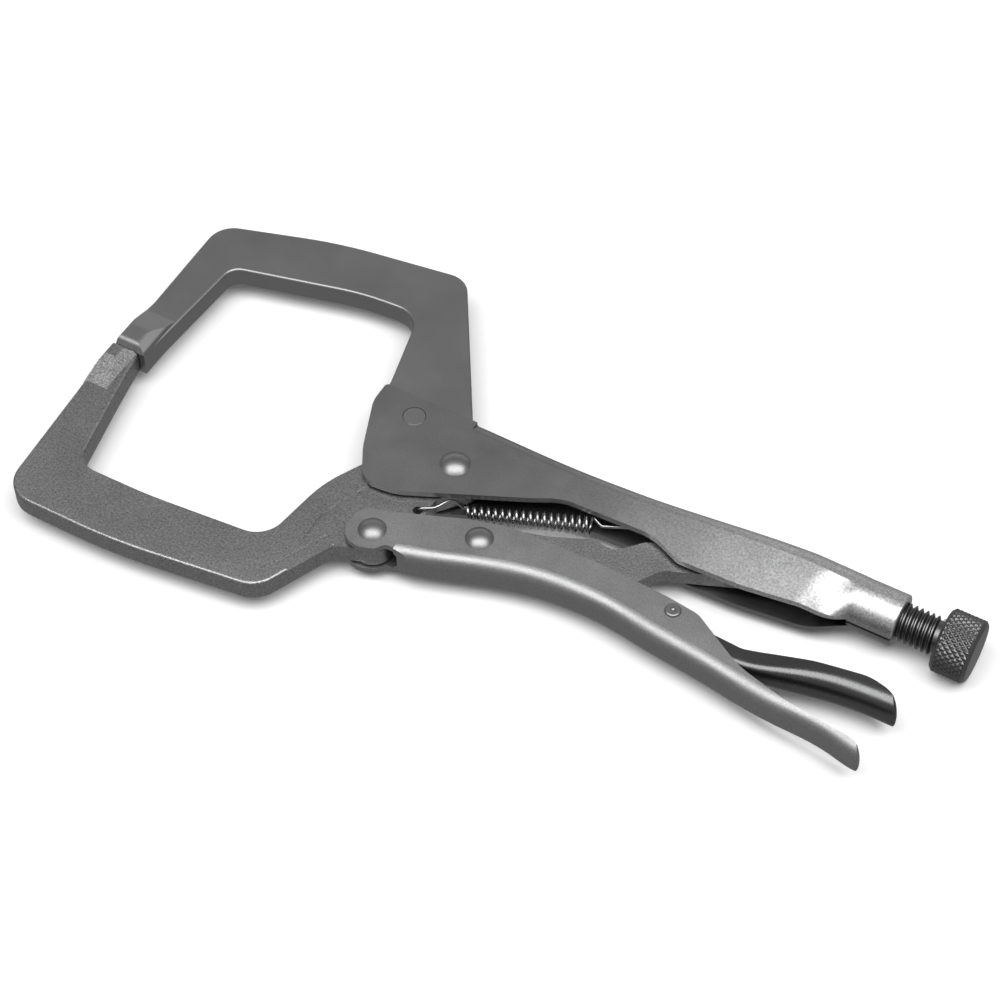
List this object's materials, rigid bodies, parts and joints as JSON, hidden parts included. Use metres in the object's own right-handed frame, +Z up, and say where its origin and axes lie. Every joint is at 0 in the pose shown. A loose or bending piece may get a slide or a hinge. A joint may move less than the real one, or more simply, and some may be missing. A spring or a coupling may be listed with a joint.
{
  "type": "locking pliers",
  "caption": "C-clamp locking pliers: two long forged jaws, toggle handles of pressed steel, release lever, adjusting screw and opening spring.",
  "frame": {"origin": "middle of the underside of the bounding box, tool lying on its side", "axes": "+X from the jaw tips towards the adjusting knob, along the screw; +Y towards the fixed jaw; +Z up, along the pivots"},
  "size_m": [0.2806, 0.1426, 0.0195],
  "materials": {
    "plated_sheet": "satin nickel plating on pressed sheet",
    "satin_forging": "smooth satin plating on a forging",
    "blasted_forging": "granular blasted and plated forging",
    "bright_rivet": "polished plated rivet head",
    "screw_steel": "plated machined steel",
    "spring_wire": "bright drawn wire"
  },
  "bodies": {
    "upper": {"upper_handle": "plated_sheet", "fixed_jaw": "satin_forging", "fixed_jaw_pin": "satin_forging", "main_pivot_rivet": "bright_rivet", "tension_spring": "spring_wire"},
    "jaw": {"moving_jaw": "blasted_forging"},
    "handle": {"lower_handle": "plated_sheet", "jaw_handle_rivet": "bright_rivet", "link_rivet": "bright_rivet", "release_lever_rivet": "bright_rivet"},
    "link": {"toggle_link": "blasted_forging"},
    "lever": {"release_lever": "plated_sheet"},
    "screw": {"adjusting_screw": "screw_steel"}
  },
  "joints": [
    {"name": "jaw_swing", "type": "hinge", "parent": "upper", "child": "jaw", "pos_m": [-0.02207, 0.00193, 0.00975], "axis": [0, 0, 1], "range_deg": [0, 36], "deforming": ["tension_spring"]},
    {"name": "handle_swing", "type": "hinge", "parent": "jaw", "child": "handle", "pos_m": [-0.03087, -0.03157, 0.00975], "axis": [0, 0, -1], "range_deg": [0, 96.48]},
    {"name": "link_swing", "type": "hinge", "parent": "handle", "child": "link", "pos_m": [-0.00177, -0.01907, 0.00975], "axis": [0, 0, 1], "range_deg": [0, 81.54]},
    {"name": "lever_press", "type": "hinge", "parent": "handle", "child": "lever", "pos_m": [0.05953, -0.01487, 0.00975], "axis": [0, 0, -1], "range_deg": [0, 6]},
    {"name": "screw_turn", "type": "hinge", "parent": "upper", "child": "screw", "pos_m": [0.12793, 0.01833, 0.00975], "axis": [1, 0, 0], "continuous": true}
  ],
  "couplings": [
    {"joint": "handle_swing", "follows": "jaw_swing", "ratio": 2.68},
    {"joint": "link_swing", "follows": "jaw_swing", "ratio": 2.265}
  ]
}
